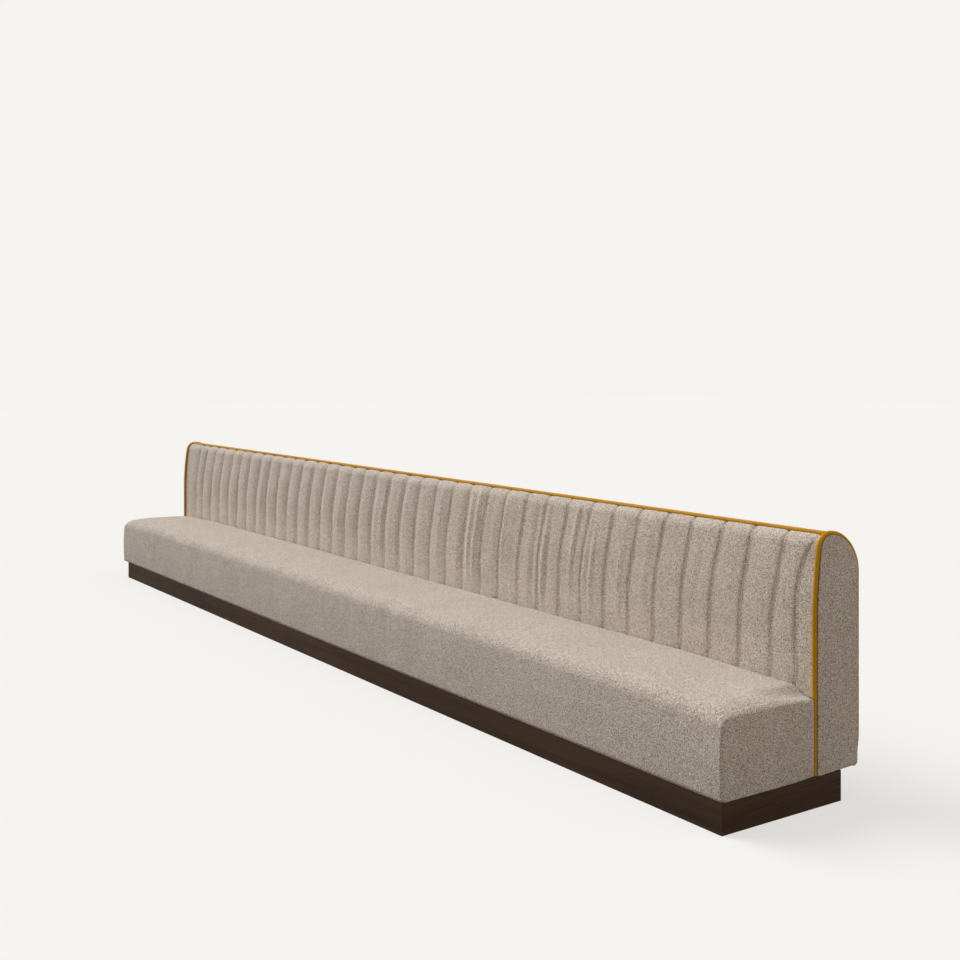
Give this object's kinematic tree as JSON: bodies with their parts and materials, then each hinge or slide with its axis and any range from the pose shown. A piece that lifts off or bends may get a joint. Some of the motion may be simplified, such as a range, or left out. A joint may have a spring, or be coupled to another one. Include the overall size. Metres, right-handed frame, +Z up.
{
  "type": "banquette bench",
  "caption": "Long upholstered banquette with a vertically channelled back, contrast piping round the crest and ends, and a recessed walnut plinth.",
  "frame": {"origin": "middle of the overall bounding box in X and Y, on the floor", "axes": "+X along the bench to the end nearest the viewer in the picture, +Y from the seat's front to the wall, +Z up"},
  "size_m": [6.4, 0.74, 1.016],
  "materials": {
    "upholstery": "grey-beige flecked boucle",
    "piping": "mustard woven cord",
    "foam": "open-cell foam and wadding, inside the cover",
    "walnut": "dark walnut veneer, satin",
    "plywood": "bare plywood and softwood",
    "steel": "zinc plated"
  },
  "bodies": {
    "root": {"crest_piping": "piping", "far_back_board": "plywood", "far_back_channels": "upholstery", "far_back_end_panel": "upholstery", "far_crest_rail": "plywood", "far_end_piping": "piping", "far_front_board": "plywood", "far_plinth_end": "walnut", "far_plinth_front": "walnut", "far_plinth_rear": "walnut", "far_rear_rail": "plywood", "far_rib_1": "plywood", "far_rib_2": "plywood", "far_rib_3": "plywood", "far_rib_4": "plywood", "far_seat_deck": "plywood", "far_seat_end_pad": "foam", "floor_brackets": "steel", "joint_bolts": "steel", "middle_back_board": "plywood", "middle_back_channels": "upholstery", "middle_crest_rail": "plywood", "middle_front_board": "plywood", "middle_rear_rail": "plywood", "middle_rib_1": "plywood", "middle_rib_2": "plywood", "middle_rib_3": "plywood", "middle_rib_4": "plywood", "middle_seat_deck": "plywood", "near_back_board": "plywood", "near_back_channels": "upholstery", "near_back_end_panel": "upholstery", "near_crest_rail": "plywood", "near_end_piping": "piping", "near_front_board": "plywood", "near_plinth_end": "walnut", "near_plinth_front": "walnut", "near_plinth_rear": "walnut", "near_rear_rail": "plywood", "near_rib_1": "plywood", "near_rib_2": "plywood", "near_rib_3": "plywood", "near_rib_4": "plywood", "near_seat_deck": "plywood", "near_seat_end_pad": "foam", "outside_back": "upholstery", "plinth_bearer_1": "plywood", "plinth_bearer_2": "plywood", "plinth_bearer_3": "plywood", "plinth_bearer_4": "plywood", "plinth_bearer_5": "plywood", "seat_cover": "upholstery", "seat_foam": "foam", "seat_front_pad": "foam"}
  },
  "joints": []
}
